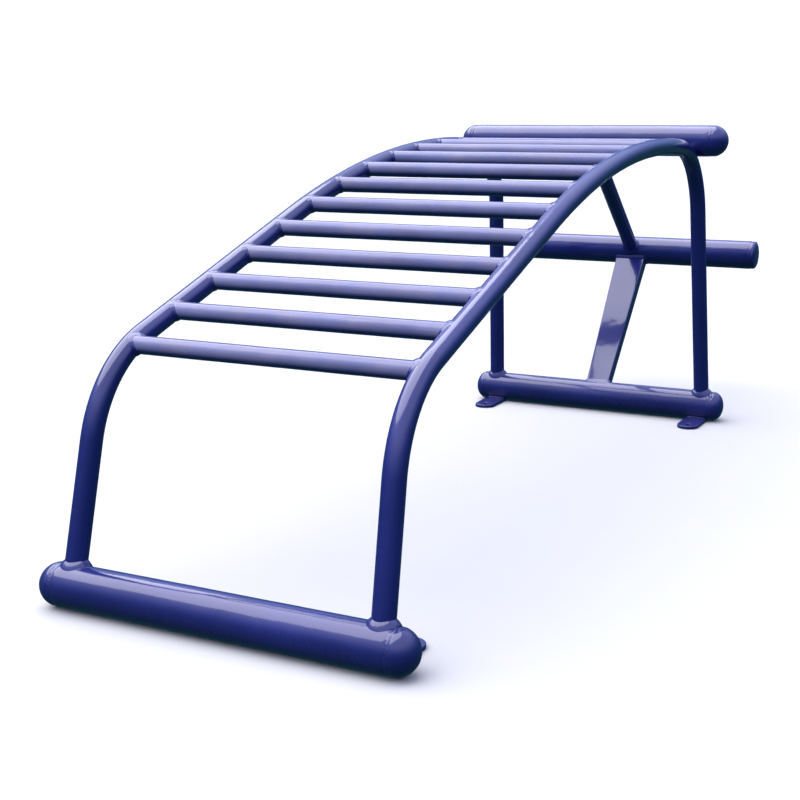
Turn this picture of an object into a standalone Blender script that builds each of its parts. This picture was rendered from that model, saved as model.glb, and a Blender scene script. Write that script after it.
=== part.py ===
"""Curved-ladder sit-up bench for outdoor use, welded from painted steel tube.

Metres, +Z up. X runs across the bench, +Y from its front foot to its rear foot.
The origin lies on the ground, under the middle of the bench.
"""

import math

import bmesh
import bpy
from mathutils import Matrix, Vector

# Tube sizes, all outside diameters
BAR_D = 0.076
RAIL_D = 0.038
RUNG_D = 0.032
BRACE_D = 0.038
WALL = 0.003
RUNG_WALL = 0.0025

# Clearance left between two pieces that are welded together
GAP = 0.0003

# Side profile of a rail, followed from its front foot to its rear foot
FRONT_LEG_LEAN = math.radians(13.5)
FRONT_LEG_L = 0.245
FRONT_BEND_R = 0.220
INCLINE = math.radians(18.7)
INCLINE_L = 0.515
CROWN_R = 2.200
CROWN_END = math.radians(-4.2)
REAR_BEND_R = 0.180
REAR_LEG_LEAN = math.radians(6.3)

# The two rails lean towards each other
FOOT_HALF_SPACING = 0.290
INWARD_LEAN = 0.0315

# Rungs, by their distance along the rail
RUNG_COUNT = 12
FIRST_RUNG_AT = 0.430
RUNG_PITCH = 0.1215
RUNG_RISE = 0.002

# Cross bars: half the length of each tube, and the depth of its end caps
FRONT_BASE_HALF_L = 0.3135
REAR_BASE_HALF_L = 0.3155
KNEE_BAR_HALF_L = 0.3135
FOOT_BAR_HALF_L = 0.337
FRONT_CAP_DEPTH = 0.038
REAR_CAP_DEPTH = 0.030
KNEE_CAP_DEPTH = 0.038
FOOT_CAP_DEPTH = 0.012

# The knee bar lies on the outside of the rear bends, this far past the top of the bend
KNEE_BAR_ANGLE = math.radians(36.3)

# The foot bar stands behind the rear foot, on the centre brace
FOOT_BAR_BACK = 0.302
FOOT_BAR_Z = 0.402

# Centre brace
LOWER_BRACE_FOOT_W = 0.060
LOWER_BRACE_HEAD_W = 0.084
LOWER_BRACE_T = 0.030
UPPER_BRACE_DROP = 0.012

# Ground lugs
LUG_HALF_SPACING = 0.283
LUG_W = 0.054
LUG_REACH = 0.100
LUG_ROOT = 0.014
LUG_T = 0.008
LUG_HOLE_D = 0.014

# Facets
BAR_SIDES = 24
RUNG_SIDES = 16
BRACE_SIDES = 16
DOME_STEPS = 5
LUG_ARC_STEPS = 12
HOLE_STEPS = 12
CURVE_RESOLUTION = 4

PAINT = (0.060, 0.070, 0.300, 1.0)
PAINT_ROUGHNESS = 0.25

BAR_R = BAR_D / 2
RAIL_R = RAIL_D / 2
RUNG_R = RUNG_D / 2
BRACE_R = BRACE_D / 2


class Pen:
    """Draws a side profile as (y, z) points; heading 0 points to the rear, 90 degrees up."""

    def __init__(self, y, z, heading):
        self.heading = heading
        self.points = [(y, z)]

    def line(self, length):
        y, z = self.points[-1]
        self.points.append((y + length * math.cos(self.heading), z + length * math.sin(self.heading)))

    def arc(self, radius, end_heading, steps):
        """Turns towards the ground, so the centre lies to the right of the heading."""
        y, z = self.points[-1]
        centre_y = y + radius * math.sin(self.heading)
        centre_z = z - radius * math.cos(self.heading)
        turn = end_heading - self.heading
        for step in range(1, steps + 1):
            angle = self.heading + turn * step / steps
            self.points.append((centre_y - radius * math.sin(angle), centre_z + radius * math.cos(angle)))
        self.heading = end_heading
        return centre_y, centre_z


def rail_profile():
    """The rail's centre line from the front base's axis to the rear base's axis, and the
    centre of its rear bend. Y is measured from the front base."""
    pen = Pen(0.0, BAR_R, math.pi / 2 - FRONT_LEG_LEAN)
    pen.line(FRONT_LEG_L)
    pen.arc(FRONT_BEND_R, INCLINE, 7)
    pen.line(INCLINE_L)
    pen.arc(CROWN_R, CROWN_END, 9)
    bend = pen.arc(REAR_BEND_R, -(math.pi / 2 - REAR_LEG_LEAN), 8)
    drop = pen.points[-1][1] - BAR_R
    pen.line(drop / math.cos(REAR_LEG_LEAN))
    return pen.points, bend


PROFILE, REAR_BEND = rail_profile()
REAR_BASE_BACK = PROFILE[-1][0]
FOOT_BAR_FROM_FRONT = REAR_BASE_BACK + FOOT_BAR_BACK

# The bench's middle is halfway between its front foot and its foot bar
FRONT_Y = -FOOT_BAR_FROM_FRONT / 2
REAR_Y = FRONT_Y + REAR_BASE_BACK
FOOT_Y = FRONT_Y + FOOT_BAR_FROM_FRONT
KNEE_REACH = REAR_BEND_R + RAIL_R + BAR_R + GAP
KNEE_Y = FRONT_Y + REAR_BEND[0] + KNEE_REACH * math.sin(KNEE_BAR_ANGLE)
KNEE_Z = REAR_BEND[1] + KNEE_REACH * math.cos(KNEE_BAR_ANGLE)


def half_spacing(z):
    """Distance from the middle plane to a rail's centre line at height z."""
    return FOOT_HALF_SPACING - INWARD_LEAN * (z - BAR_R)


def along_profile(distance):
    """The point at a distance along the rail, and the rail's direction there."""
    for (y0, z0), (y1, z1) in zip(PROFILE, PROFILE[1:]):
        length = math.hypot(y1 - y0, z1 - z0)
        if distance <= length:
            share = distance / length
            direction = ((y1 - y0) / length, (z1 - z0) / length)
            return y0 + (y1 - y0) * share, z0 + (z1 - z0) * share, direction
        distance -= length
    raise ValueError("the rail is shorter than that")


def clear_scene():
    for obj in list(bpy.data.objects):
        bpy.data.objects.remove(obj, do_unlink=True)


def make_collection(name):
    collection = bpy.data.collections.new(name)
    bpy.context.scene.collection.children.link(collection)
    return collection


def paint(name):
    material = bpy.data.materials.new(name + "_paint")
    material.use_nodes = True
    shader = material.node_tree.nodes["Principled BSDF"]
    shader.inputs["Base Color"].default_value = PAINT
    shader.inputs["Roughness"].default_value = PAINT_ROUGHNESS
    shader.inputs["Metallic"].default_value = 0.0
    return material


def add_part(name, mesh, matrix=None):
    """Makes a mesh into a named sub-part of the bench."""
    mesh.shade_smooth()
    mesh.set_sharp_from_angle(angle=math.radians(40))
    mesh.materials.clear()
    mesh.materials.append(paint(name))
    obj = bpy.data.objects.new(name, mesh)
    PARTS.objects.link(obj)
    obj.parent = BENCH
    obj.matrix_world = matrix or Matrix()
    return obj


def add_cutter(name, mesh, matrix=None):
    obj = bpy.data.objects.new(name, mesh)
    CUTTERS.objects.link(obj)
    obj.hide_render = True
    obj.display_type = "WIRE"
    obj.matrix_world = matrix or Matrix()
    return obj


def cope(obj, cutter):
    """Cuts the piece to fit against its neighbour."""
    cut = obj.modifiers.new("cope_" + cutter.name, "BOOLEAN")
    cut.operation = "DIFFERENCE"
    cut.solver = "EXACT"
    cut.object = cutter


def thicken(obj, wall):
    """Gives an open tube its wall, measured inwards."""
    solid = obj.modifiers.new("wall", "SOLIDIFY")
    solid.thickness = wall
    solid.offset = -1.0
    solid.use_even_offset = True


def cylinder_mesh(name, radius, length, sides, closed):
    """A cylinder on local Z, from 0 to its length."""
    shape = bmesh.new()
    bmesh.ops.create_cone(
        shape, cap_ends=closed, segments=sides, radius1=radius, radius2=radius, depth=length
    )
    bmesh.ops.translate(shape, verts=shape.verts, vec=(0, 0, length / 2))
    mesh = bpy.data.meshes.new(name)
    shape.to_mesh(mesh)
    shape.free()
    return mesh


def across(start_x, y, z):
    """Places local Z along +X, starting at the given point."""
    return Matrix.Translation((start_x, y, z)) @ Matrix.Rotation(math.pi / 2, 4, "Y")


def between(start, end):
    """Places local Z from one point towards another, keeping local X across the bench."""
    up = (Vector(end) - Vector(start)).normalized()
    side = Vector((1, 0, 0))
    turn = Matrix((side, up.cross(side), up)).transposed().to_4x4()
    return Matrix.Translation(start) @ turn


def mesh_from_curve(curve, name):
    """The evaluated mesh of a curve, with its caps welded on."""
    guide = bpy.data.objects.new(name + "_guide", curve)
    bpy.context.scene.collection.objects.link(guide)
    evaluated = guide.evaluated_get(bpy.context.evaluated_depsgraph_get())
    mesh = bpy.data.meshes.new_from_object(evaluated)
    bpy.data.objects.remove(guide, do_unlink=True)
    bpy.data.curves.remove(curve)
    shape = bmesh.new()
    shape.from_mesh(mesh)
    bmesh.ops.remove_doubles(shape, verts=shape.verts, dist=0.00001)
    bmesh.ops.recalc_face_normals(shape, faces=shape.faces)
    shape.to_mesh(mesh)
    shape.free()
    mesh.name = name
    return mesh


def rail_mesh(name, side, radius, closed):
    """A round section carried along the rail's centre line on one side of the bench."""
    curve = bpy.data.curves.new(name, "CURVE")
    curve.dimensions = "3D"
    curve.bevel_depth = radius
    curve.bevel_resolution = CURVE_RESOLUTION
    curve.use_fill_caps = closed
    spline = curve.splines.new("POLY")
    spline.points.add(len(PROFILE) - 1)
    for point, (y, z) in zip(spline.points, PROFILE):
        point.co = (side * half_spacing(z), FRONT_Y + y, z, 1)
    return mesh_from_curve(curve, name)


def make_bar(name, y, z, half_length):
    """A cross bar's open tube, and the cutter that fits other pieces to it."""
    tube = cylinder_mesh(name, BAR_R, 2 * half_length, BAR_SIDES, closed=False)
    bar = add_part(name, tube, across(-half_length, y, z))
    thicken(bar, WALL)
    reach = half_length + BAR_D
    solid = cylinder_mesh(name + "_cutter", BAR_R + GAP, 2 * reach, BAR_SIDES, closed=True)
    return add_cutter(name + "_cutter", solid, across(-reach, y, z))


def cap_profile(depth):
    """Outline of a pressed cap's wall in the XZ plane, down its outside and back up inside.
    Each side is a quarter of an ellipse."""
    outline = []
    for radius, height, order in (
        (BAR_R, depth, range(DOME_STEPS + 1)),
        (BAR_R - WALL, depth - WALL, range(DOME_STEPS, -1, -1)),
    ):
        for step in order:
            angle = math.pi / 2 * step / DOME_STEPS
            outline.append((radius * math.sin(angle), height * math.cos(angle)))
    return outline


def make_caps(name, y, z, half_length, depth):
    """The two pressed end caps of a bar, each turned about the bar's axis."""
    for side_name, side in (("left", -1), ("right", 1)):
        outline = cap_profile(depth)
        mesh = bpy.data.meshes.new(name)
        edges = [(i, i + 1) for i in range(len(outline) - 1)]
        mesh.from_pydata([(x, 0, height) for x, height in outline], edges, [])
        cap = add_part(
            name + "_cap_" + side_name,
            mesh,
            Matrix.Translation((side * (half_length + GAP), y, z))
            @ Matrix.Rotation(side * math.pi / 2, 4, "Y"),
        )
        turn = cap.modifiers.new("turned", "SCREW")
        turn.steps = BAR_SIDES
        turn.render_steps = BAR_SIDES
        turn.use_merge_vertices = True
        turn.merge_threshold = 0.00005
        turn.use_smooth_shade = True


def make_rails(bar_cutters):
    """The two bent side rails; the cutters fit the rungs to them."""
    cutters = {}
    for side_name, side in (("left", -1), ("right", 1)):
        name = "rail_" + side_name
        rail = add_part(name, rail_mesh(name, side, RAIL_R, closed=False))
        thicken(rail, WALL)
        for cutter in bar_cutters:
            cope(rail, cutter)
        cutters[side] = add_cutter(
            name + "_cutter", rail_mesh(name + "_cutter", side, RAIL_R + GAP, closed=True)
        )
    return cutters


def make_rungs(rail_cutters):
    """Straight rungs between the rails, set a little above the rails' centre lines so that
    rungs and rails are level on top."""
    for number in range(RUNG_COUNT):
        y, z, (along_y, along_z) = along_profile(FIRST_RUNG_AT + number * RUNG_PITCH)
        half_length = half_spacing(z)
        rung_y = FRONT_Y + y - along_z * RUNG_RISE
        rung_z = z + along_y * RUNG_RISE
        name = "rung_%02d" % (number + 1)
        tube = cylinder_mesh(name, RUNG_R, 2 * half_length, RUNG_SIDES, closed=False)
        rung = add_part(name, tube, across(-half_length, rung_y, rung_z))
        thicken(rung, RUNG_WALL)
        for cutter in rail_cutters.values():
            cope(rung, cutter)


def brace_box(name, length, grow, closed):
    """A tapered box on local Z: it widens across local X from its foot to its head."""
    shape = bmesh.new()
    bmesh.ops.create_cube(shape, size=1.0)
    for vert in shape.verts:
        at_head = vert.co.z > 0
        width = LOWER_BRACE_HEAD_W if at_head else LOWER_BRACE_FOOT_W
        vert.co.x *= width + 2 * grow
        vert.co.y *= LOWER_BRACE_T + 2 * grow
        vert.co.z = length if at_head else 0.0
    if not closed:
        ends = [face for face in shape.faces if abs(face.normal.z) > 0.5]
        bmesh.ops.delete(shape, geom=ends, context="FACES_ONLY")
    mesh = bpy.data.meshes.new(name)
    shape.to_mesh(mesh)
    shape.free()
    return mesh


def make_braces(rear_base, knee_bar, foot_bar):
    """The lower brace rises from the rear base to the foot bar; the upper one runs from the
    foot bar up to the knee bar."""
    foot = Vector((0, REAR_Y, BAR_R))
    elbow = Vector((0, FOOT_Y, FOOT_BAR_Z))
    top = Vector((0, KNEE_Y, KNEE_Z))
    length = (elbow - foot).length
    lower = add_part("lower_brace", brace_box("lower_brace", length, 0.0, False), between(foot, elbow))
    thicken(lower, WALL)
    cope(lower, rear_base)
    cope(lower, foot_bar)
    lower_cutter = add_cutter(
        "lower_brace_cutter", brace_box("lower_brace_cutter", length, GAP, True), between(foot, elbow)
    )
    landing = elbow - Vector((0, 0, UPPER_BRACE_DROP))
    tube = cylinder_mesh("upper_brace", BRACE_R, (top - landing).length, BRACE_SIDES, closed=False)
    upper = add_part("upper_brace", tube, between(landing, top))
    thicken(upper, WALL)
    cope(upper, foot_bar)
    cope(upper, knee_bar)
    cope(upper, lower_cutter)


def arc_points(centre_y, radius, turn, steps):
    """Points on an arc that starts at +X and turns towards +Y."""
    angles = [turn * step / steps for step in range(steps + 1)]
    return [(radius * math.cos(a), centre_y + radius * math.sin(a)) for a in angles]


def lug_mesh(name):
    """A flat ear with a round end and an anchor hole, its root on local Y = 0."""
    curve = bpy.data.curves.new(name, "CURVE")
    curve.dimensions = "2D"
    curve.fill_mode = "BOTH"
    curve.extrude = LUG_T / 2
    half_width = LUG_W / 2
    outline = [(-half_width, LUG_ROOT), (half_width, LUG_ROOT)]
    outline += arc_points(LUG_REACH, half_width, math.pi, LUG_ARC_STEPS)
    hole = arc_points(LUG_REACH, LUG_HOLE_D / 2, 2 * math.pi, HOLE_STEPS)[:-1]
    for points in (outline, hole):
        spline = curve.splines.new("POLY")
        spline.points.add(len(points) - 1)
        spline.use_cyclic_u = True
        for point, (x, y) in zip(spline.points, points):
            point.co = (x, y, 0, 1)
    return mesh_from_curve(curve, name)


def make_lugs(name, y, direction, bar_cutter):
    """Two ears that lie on the ground under a base tube, pointing to the bench's middle."""
    for side_name, side in (("left", -1), ("right", 1)):
        lug_name = name + "_lug_" + side_name
        place = Matrix.Translation((side * LUG_HALF_SPACING, y, LUG_T / 2))
        turn = Matrix.Rotation(0.0 if direction > 0 else math.pi, 4, "Z")
        lug = add_part(lug_name, lug_mesh(lug_name), place @ turn)
        cope(lug, bar_cutter)


clear_scene()
PARTS = make_collection("sit_up_bench")
CUTTERS = make_collection("cutters")
BENCH = bpy.data.objects.new("sit_up_bench_origin", None)
PARTS.objects.link(BENCH)

front_base = make_bar("front_base_tube", FRONT_Y, BAR_R, FRONT_BASE_HALF_L)
make_caps("front_base", FRONT_Y, BAR_R, FRONT_BASE_HALF_L, FRONT_CAP_DEPTH)
rear_base = make_bar("rear_base_tube", REAR_Y, BAR_R, REAR_BASE_HALF_L)
make_caps("rear_base", REAR_Y, BAR_R, REAR_BASE_HALF_L, REAR_CAP_DEPTH)
knee_bar = make_bar("knee_bar_tube", KNEE_Y, KNEE_Z, KNEE_BAR_HALF_L)
make_caps("knee_bar", KNEE_Y, KNEE_Z, KNEE_BAR_HALF_L, KNEE_CAP_DEPTH)
foot_bar = make_bar("foot_bar_tube", FOOT_Y, FOOT_BAR_Z, FOOT_BAR_HALF_L)
make_caps("foot_bar", FOOT_Y, FOOT_BAR_Z, FOOT_BAR_HALF_L, FOOT_CAP_DEPTH)
rail_cutters = make_rails((front_base, rear_base))
make_rungs(rail_cutters)
make_braces(rear_base, knee_bar, foot_bar)
make_lugs("front", FRONT_Y, 1, front_base)
make_lugs("rear", REAR_Y, -1, rear_base)
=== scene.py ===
"""Painted skins, welds, enamel and studio for a curved-ladder sit-up bench of welded steel tube.

Metres, +Z up, X across the bench, +Y from its front foot to its foot bar. Every piece is a closed
surface worked out on a grid of two parameters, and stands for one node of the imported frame.
"""

import math

import bmesh
import bpy
import numpy as np
from bpy.props import FloatProperty, FloatVectorProperty, PointerProperty
from mathutils import Matrix, Vector


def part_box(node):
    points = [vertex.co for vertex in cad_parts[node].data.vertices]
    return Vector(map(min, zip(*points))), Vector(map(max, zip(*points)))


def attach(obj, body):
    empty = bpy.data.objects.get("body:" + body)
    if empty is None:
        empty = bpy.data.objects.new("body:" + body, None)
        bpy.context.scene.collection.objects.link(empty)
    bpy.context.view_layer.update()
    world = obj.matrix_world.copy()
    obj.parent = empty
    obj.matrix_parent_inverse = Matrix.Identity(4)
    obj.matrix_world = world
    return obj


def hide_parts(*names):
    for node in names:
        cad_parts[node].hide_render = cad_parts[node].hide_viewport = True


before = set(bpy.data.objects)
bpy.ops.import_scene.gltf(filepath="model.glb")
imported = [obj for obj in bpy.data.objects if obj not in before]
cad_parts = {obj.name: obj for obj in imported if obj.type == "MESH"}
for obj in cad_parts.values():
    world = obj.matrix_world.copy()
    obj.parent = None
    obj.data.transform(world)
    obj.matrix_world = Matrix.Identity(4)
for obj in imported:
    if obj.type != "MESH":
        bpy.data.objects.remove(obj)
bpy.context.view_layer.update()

bl_info = {
    "name": "Curved Ladder Sit-up Bench",
    "version": (1, 0, 0),
    "blender": (4, 5, 0),
    "location": "View3D > Sidebar > Sit-up Bench",
    "description": "Builds the enamelled tubes, caps, braces, ears and welds of an outdoor sit-up bench",
    "category": "Add Mesh",
}

BODY = "root"
SIDES = (("left", -1.0), ("right", 1.0))
RUNG_NODES = sorted(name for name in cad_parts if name.startswith("rung_"))

X_AXIS, Y_AXIS, Z_AXIS = np.eye(3)
YZ_PART = np.array((0.0, 1.0, 1.0))

# Grid densities
RAIL_ROWS = 260
TUBE_COLUMNS = 56
BAR_COLUMNS = 96
BAR_ROWS = 81
BAR_END_ROWS = 7
RUNG_ROWS = 41
DOME_ROWS = 22
DOME_CROWDING = 1.25
BRACE_ROWS = 25
BRACE_CORNER_STEPS = 9
BRACE_SIDE_STEPS = 10
EAR_COLUMNS = 120
EAR_CORNER_STEPS = 5
EAR_FLAT_STEPS = 10
SEAM_STEPS = 300
WELD_COLUMNS = 9
FLOOR_ROWS = 24
FLOOR_COLUMNS = 96

# How fast a tube's uneven skin wanders along it, in radians of phase for each metre
RAIL_WAVES = 6.0
RUNG_WAVES = 21.0
BAR_WAVES = 17.0

# Cap shapes: 2 is an ellipse, and more is squarer
CAP_SQUARENESS = {"front_base": 2.0, "rear_base": 2.25, "knee_bar": 2.0, "foot_bar": 2.7}

# Weld beads: how deep toes and roots lie below the skin, how a ripple bows, and how a hand weld's
# width sways, as (share of the leg, pace along the bead, phase)
TOE_SINK = 0.0002
ROOT_SINK = 0.0012
RIPPLE_BOW = 1.6
SWAYS = ((0.12, 83.0, 0.0), (0.08, 37.0, 2.0))
EAR_BEAD_SHARE = 0.97

# The dressed seam of a cap: half its width in reaches, then its bed, crest and dips in necks
SEAM_WIDTH = 0.68
SEAM_BED = 1.3
SEAM_CREST = 1.25
SEAM_DIPS = 0.60
SEAM_RIPPLES = 0.5
SEAM_WANDER = 0.0014

# The collar under the knee bar: half lengths along and across the rail, waist and core
COLLAR_LONG = 0.0175
COLLAR_WIDE = 0.0125
COLLAR_WAIST = 0.62
COLLAR_CORE = 0.25

# Scuffing and painted highlight: the side of the rungs that hands and feet make dull, and that carries a
# painted highlight, is turned this far forward from the top
RUB_AND_HIGHLIGHT_LEAN = math.radians(74)
RUB_AND_HIGHLIGHT_START = 0.62
RUB_AND_HIGHLIGHT_SPAN = 0.34
# Strength of the scuffing and painted highlight on the knee bar's top
KNEE_RUB_AND_HIGHLIGHT = 0.40

# Enamel patterns, in waves a metre; waves and peel as (scale, detail) and (strength, height)
PATCH_SCALE = 7.0
TONE_SCALE = 13.0
DUST_SCALE = 38.0
HAIR_SCALE = (16.0, 260.0, 260.0)
WAVES = (26.0, 1.0)
WAVE_BUMP = (0.16, 0.0030)
PEEL = (330.0, 2.0)
PEEL_BUMP = (0.10, 0.0003)
# Weakest share of the scuffing and of its painted highlight, where hairs and patches are low
LEAST_RUB_AND_HIGHLIGHT = 0.65
DUST_TOP = 0.085
DUST_SHARE = 0.16
GLOSS_LOST = 0.70

# Roughness added by a thin patch, rubbing, dust and a weld
ROUGH_ADDED = (0.05, 0.25, 0.30, 0.04)

# The dim surroundings: colours by height, from 0 straight down to 1 straight up
SURROUNDINGS = (
    (0.46, (0.012, 0.044, 0.056)),
    (0.56, (0.040, 0.095, 0.130)),
    (0.66, (0.170, 0.230, 0.500)),
    (0.82, (0.660, 0.720, 1.000)),
)
LIGHT_COLOUR = (1.0, 0.965, 0.985)

SENSOR_WIDTH = 36.0
FAR_CLIP = 100.0
SHARP_EDGE = math.radians(38)
THINNEST_EAR = 0.0005
INNER_CORNER = 0.0004


def metres(name, description, default):
    """A length in metres."""
    return FloatProperty(
        name=name, description=description, default=default, min=0.0, unit="LENGTH", precision=4)


def degrees(name, description, default):
    """An angle, given in degrees and kept in radians."""
    return FloatProperty(
        name=name, description=description, default=math.radians(default), subtype="ANGLE")


def fraction(name, description, default):
    """A share between 0 and 1."""
    return FloatProperty(
        name=name, description=description, default=default, min=0.0, max=1.0, subtype="FACTOR")


def tint(name, description, default):
    """A linear red, green and blue colour."""
    return FloatVectorProperty(
        name=name, description=description, default=default, min=0.0, max=1.0, size=3, subtype="COLOR")


class BenchRailSettings(bpy.types.PropertyGroup):
    """Side profile of the two bent rails, from the front base to the rear base."""

    front_leg_lean: degrees("Front Leg Lean", "Lean of the front legs from upright", 13.5)
    front_leg_length: metres(
        "Front Leg", "Straight length of the front legs from the base tube's axis", 0.245)
    front_bend_radius: metres("Front Bend", "Centre-line radius of the front bends", 0.220)
    incline: degrees("Incline", "Rise of the straight ladder stretch above level", 18.7)
    incline_length: metres("Incline Length", "Length of the straight ladder stretch", 0.515)
    crown_radius: metres("Crown Radius", "Centre-line radius of the gently curved crown", 2.200)
    crown_end: degrees("Crown End", "Heading of the rail where the rear bend begins", -4.2)
    rear_bend_radius: metres("Rear Bend", "Centre-line radius of the rear bends", 0.180)
    rear_leg_lean: degrees("Rear Leg Lean", "Lean of the rear legs from upright", 6.3)
    foot_half_spacing: metres("Half Spacing", "From the middle plane to a rail at the base tubes", 0.290)
    inward_lean: FloatProperty(
        name="Inward Lean", description="How far the rails close in for each metre of height",
        default=0.0315)
    diameter: metres("Diameter", "Outside diameter of the rails", 0.038)


class BenchTubeSettings(bpy.types.PropertyGroup):
    """Walls of the tubes and the shapes of the smaller parts."""

    wall: metres("Wall", "Wall of the rails, bars and braces", 0.003)
    rung_wall: metres("Rung Wall", "Wall of the rungs", 0.0025)
    straightness: metres("Straightness", "How far a drawn tube's skin wanders from true", 0.00016)
    brace_foot_width: metres("Brace Foot Width", "Width of the lower brace at the rear base", 0.060)
    brace_head_width: metres("Brace Head Width", "Width of the lower brace at the foot bar", 0.084)
    brace_thickness: metres("Brace Thickness", "Thickness of the lower brace", 0.030)
    brace_corner: metres("Brace Corner", "Outside corner radius of the lower brace", 0.0028)
    upper_brace_diameter: metres("Upper Brace", "Outside diameter of the upper brace", 0.038)
    upper_brace_drop: metres(
        "Upper Brace Drop", "How far below the foot bar's axis the upper brace aims", 0.012)
    ear_reach: metres("Ear Reach", "From a base tube's axis to the anchor hole of its ears", 0.100)
    ear_root: metres("Ear Root", "From a base tube's axis to the hidden edge of its ears", 0.014)
    ear_hole: metres("Anchor Hole", "Diameter of the anchor holes", 0.014)
    ear_edge: metres("Ear Edge", "Rounding of the ears' edges under the enamel", 0.0016)


class BenchWeldSettings(bpy.types.PropertyGroup):
    """Sizes of the weld beads."""

    rung_weld: metres("Rung Weld", "Leg of the fillet between a rung and a rail", 0.0055)
    leg_weld: metres("Leg Weld", "Leg of the fillet between a rail and a base tube", 0.0080)
    brace_weld: metres("Brace Weld", "Leg of the fillets at the ends of the braces", 0.0060)
    ear_weld: metres("Ear Weld", "Leg of the fillet between an ear and its base tube", 0.0060)
    ripple_pitch: metres("Ripple Pitch", "Distance between two ripples of a bead", 0.0068)
    ripple_depth: metres("Ripple Depth", "Height of a ripple under the enamel", 0.00022)
    crown: metres("Bead Crown", "How far a bead stands proud of a flat fillet", 0.0006)
    seam_reach: metres("Seam Reach", "Half the width of the dressed zone at a cap's seam", 0.0084)
    seam_neck: metres("Seam Neck", "How far tube and cap are drawn in at the seam", 0.0015)


class BenchPaintSettings(bpy.types.PropertyGroup):
    """The blue enamel."""

    colour: tint("Enamel", "Main colour of the enamel", (0.018, 0.023, 0.172))
    deep_colour: tint("Thick Enamel", "Colour where the enamel has pooled", (0.014, 0.019, 0.140))
    # Painted highlight: pale lavender colours, laid where hands and feet scuff the enamel, stand in for the
    # soft highlight on the rungs' front and the knee bar's top
    painted_highlight_colour: tint(
        "Highlight", "Colour of enamel rubbed dull and chalked by the sun", (0.290, 0.270, 0.395))
    painted_highlight_tint: tint(
        "Chalk Tint", "Colour of chalked enamel where more blue is left", (0.215, 0.235, 0.440))
    dust_colour: tint("Dust", "Colour of dust close to the ground", (0.130, 0.120, 0.110))
    roughness: fraction("Roughness", "Roughness of the enamel under its gloss coat", 0.16)
    coat_roughness: fraction("Gloss", "Roughness of the gloss coat", 0.05)
    coat_ior: FloatProperty(
        name="Coat Index", description="Refractive index of the gloss coat",
        default=1.46, min=1.0, max=2.5)
    specular: fraction("Specular", "Specular level of the enamel", 0.40)


class BenchStageSettings(bpy.types.PropertyGroup):
    """Camera, floor and lights."""

    eye: FloatVectorProperty(
        name="Camera Place", description="Where the camera stands", subtype="TRANSLATION",
        size=3, unit="LENGTH", default=(1.155, -2.643, 0.819))
    yaw: degrees("Camera Turn", "Turn of the camera to the left of straight ahead", 27.43)
    pitch: degrees("Camera Tilt", "How far the camera looks down", 12.63)
    roll: degrees("Camera Roll", "Roll of the camera about its own axis", -0.396)
    lens: FloatProperty(
        name="Lens", description="Focal length in millimetres on a sensor 36 mm wide",
        default=59.9, min=10.0, max=300.0)
    floor_radius: metres("Floor Radius", "Radius of the flat floor", 9.0)
    floor_colour: tint("Floor", "Colour of the floor and its upturned rim", (0.57, 0.565, 0.545))
    rim_radius: metres("Rim Radius", "Radius of the curve by which the floor turns up", 60.0)
    rim_turn: degrees("Rim Turn", "How far the floor's rim turns up", 50.0)
    sky_strength: FloatProperty(
        name="Overhead Light", description="Light that reaches the floor, in watts a square metre",
        default=3.40, min=0.0)
    sky_spread: degrees("Light Spread", "How wide the soft overhead light looks from the bench", 73.0)
    sky_elevation: degrees("Light Elevation", "Height of the overhead light's middle above the horizon", 66.0)
    sky_turn: degrees("Light Turn", "Turn of the overhead light to the left of straight ahead", 79.0)
    fill_strength: FloatProperty(
        name="Fill Light", description="Even light from the front left, in watts a square metre",
        default=1.5, min=0.0)
    fill_elevation: degrees("Fill Elevation", "Height of the fill light above the horizon", 35.0)
    fill_turn: degrees("Fill Turn", "Turn of the fill light to the left of straight ahead", 138.0)
    ambient: FloatProperty(
        name="Ambient", description="Strength of the dim surroundings",
        default=1.40, min=0.0)


# --- small vector helpers ------------------------------------------------------------------------


def unit(vectors):
    """Vectors scaled to length one."""
    return vectors / np.linalg.norm(vectors, axis=-1, keepdims=True)


def dot(a, b):
    """Row by row dot product, kept as a column."""
    return (a * b).sum(-1, keepdims=True)


def full_turn(count):
    """Equally spaced angles round a circle, the last one short of the first."""
    return np.arange(count) * (2 * math.pi / count)


def spokes(angles, first, second):
    """Unit vectors at the given angles from the first axis towards the second."""
    return np.cos(angles)[..., None] * first + np.sin(angles)[..., None] * second


def round_x(x, centre, radius, angles):
    """Points at x and at a radius about the line along X through the centre."""
    y = centre[1] + radius * np.cos(angles)
    return np.stack((np.broadcast_to(x, y.shape), y, centre[2] + radius * np.sin(angles)), axis=-1)


def bezier(start, middle, end, share):
    """A quadratic Bezier curve between rows of points: (1-s)^2 a + 2s(1-s) b + s^2 c, with one
    column of points for each share s."""
    share = share[None, :, None]
    return (
        start[:, None] * (1 - share) ** 2
        + middle[:, None] * (2 * share * (1 - share))
        + end[:, None] * share ** 2
    )


def onto_cylinder(points, centre, axis, radius):
    """Points moved to a cylinder's surface: each keeps its place along the axis and its direction
    from it, and takes the radius as its distance."""
    foot = centre + dot(points - centre, axis) * axis
    return foot + radius * unit(points - foot)


def smooth_step(value):
    """3v^2 - 2v^3 with v held between 0 and 1."""
    held = np.clip(value, 0.0, 1.0)
    return held * held * (3 - 2 * held)


def wander(a, b, seed):
    """A slow unevenness between about -1 and 1: three sine waves across two parameters, whose
    phases come from the seed."""
    waves = (
        np.sin(a * 1.00 + 2 * b + 1.7 * seed)
        + 0.7 * np.sin(a * 2.31 - 3 * b + 2.9 * seed)
        + 0.5 * np.sin(a * 4.17 + 5 * b + 4.3 * seed)
    )
    return waves / 2.2


# --- the frame's own parts -----------------------------------------------------------------------


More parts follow.
